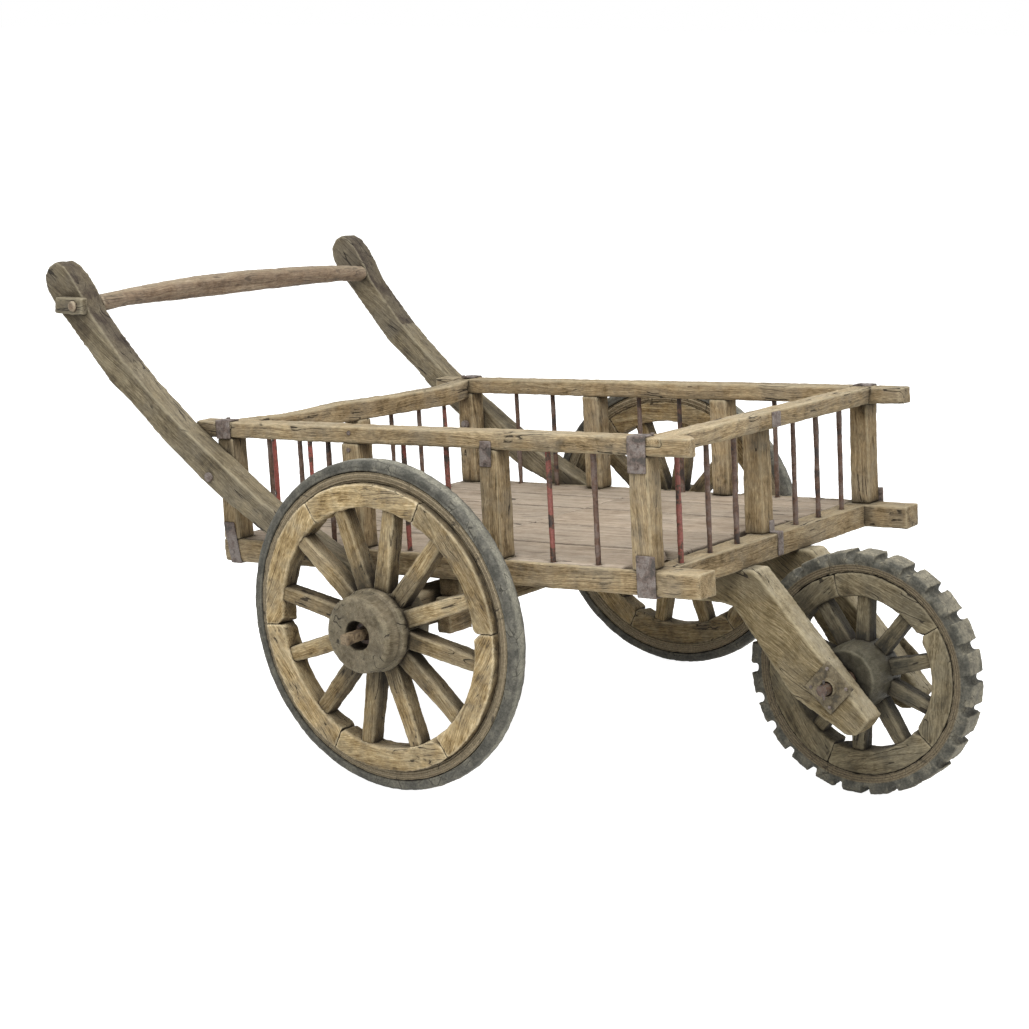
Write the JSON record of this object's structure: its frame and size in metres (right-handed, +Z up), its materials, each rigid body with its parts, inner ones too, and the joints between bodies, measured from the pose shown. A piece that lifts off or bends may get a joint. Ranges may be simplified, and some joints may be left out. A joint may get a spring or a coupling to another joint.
{
  "type": "hand cart",
  "caption": "Old wooden hand cart with a railed slatted bed, large spoked rear wheels, a smaller spoked front wheel held in a fork, rubber tyres and a raised push bar.",
  "frame": {"origin": "on the ground, under the middle of the cart's overall length and width", "axes": "+X forward towards the front wheel, +Y to the cart's left, +Z up"},
  "size_m": [2.0824, 1.358, 1.0167],
  "materials": {
    "bed_wood": "weathered oak, worn and greyed",
    "floor_wood": "bare grey boards",
    "wheel_wood": "weathered, honey brown where worn",
    "handle_wood": "smooth from use",
    "old_iron": "rusted, traces of red paint",
    "rear_rubber": "dusty grey",
    "tyre_base": "dull brown",
    "front_rubber": "dusty dark rubber"
  },
  "bodies": {
    "cart": {"arm_bolts": "old_iron", "axle_beam": "bed_wood", "axle_collars": "old_iron", "corner_straps": "old_iron", "cross_beam": "bed_wood", "end_rods": "old_iron", "floor_board_1": "floor_wood", "floor_board_2": "floor_wood", "floor_board_3": "floor_wood", "floor_board_4": "floor_wood", "floor_board_5": "floor_wood", "floor_joists": "floor_wood", "fork_arm_left": "bed_wood", "fork_arm_right": "bed_wood", "fork_flanges": "old_iron", "front_axle": "old_iron", "front_bottom_rail": "bed_wood", "front_cotters": "old_iron", "front_post": "bed_wood", "front_top_rail": "bed_wood", "handle_arm_left": "handle_wood", "handle_arm_right": "handle_wood", "handle_bar": "handle_wood", "handle_keys": "handle_wood", "left_bottom_rail": "bed_wood", "left_post_1": "bed_wood", "left_post_2": "bed_wood", "left_post_3": "bed_wood", "left_post_4": "bed_wood", "left_top_rail": "bed_wood", "nail_heads": "old_iron", "rear_axle": "old_iron", "rear_bottom_rail": "bed_wood", "rear_post": "bed_wood", "rear_top_rail": "bed_wood", "right_bottom_rail": "bed_wood", "right_post_1": "bed_wood", "right_post_2": "bed_wood", "right_post_3": "bed_wood", "right_post_4": "bed_wood", "right_top_rail": "bed_wood", "side_rods": "old_iron"},
    "right_wheel": {"right_wheel_band": "tyre_base", "right_wheel_bush": "old_iron", "right_wheel_felloes": "wheel_wood", "right_wheel_hub": "wheel_wood", "right_wheel_spokes": "wheel_wood", "right_wheel_tyre": "rear_rubber"},
    "left_wheel": {"left_wheel_band": "tyre_base", "left_wheel_bush": "old_iron", "left_wheel_felloes": "wheel_wood", "left_wheel_hub": "wheel_wood", "left_wheel_spokes": "wheel_wood", "left_wheel_tyre": "rear_rubber"},
    "front_wheel": {"front_wheel_bush": "old_iron", "front_wheel_felloes": "wheel_wood", "front_wheel_hub": "wheel_wood", "front_wheel_spokes": "wheel_wood", "front_wheel_tyre": "front_rubber"}
  },
  "joints": [
    {"name": "right_wheel_turn", "type": "hinge", "parent": "cart", "child": "right_wheel", "pos_m": [-0.0265, -0.558, 0.347], "axis": [0, 1, 0], "continuous": true},
    {"name": "left_wheel_turn", "type": "hinge", "parent": "cart", "child": "left_wheel", "pos_m": [-0.0265, 0.558, 0.347], "axis": [0, 1, 0], "continuous": true},
    {"name": "front_wheel_turn", "type": "hinge", "parent": "cart", "child": "front_wheel", "pos_m": [0.78722, -0.00282, 0.25474], "axis": [0, 0.9995, -0.0305], "continuous": true}
  ]
}
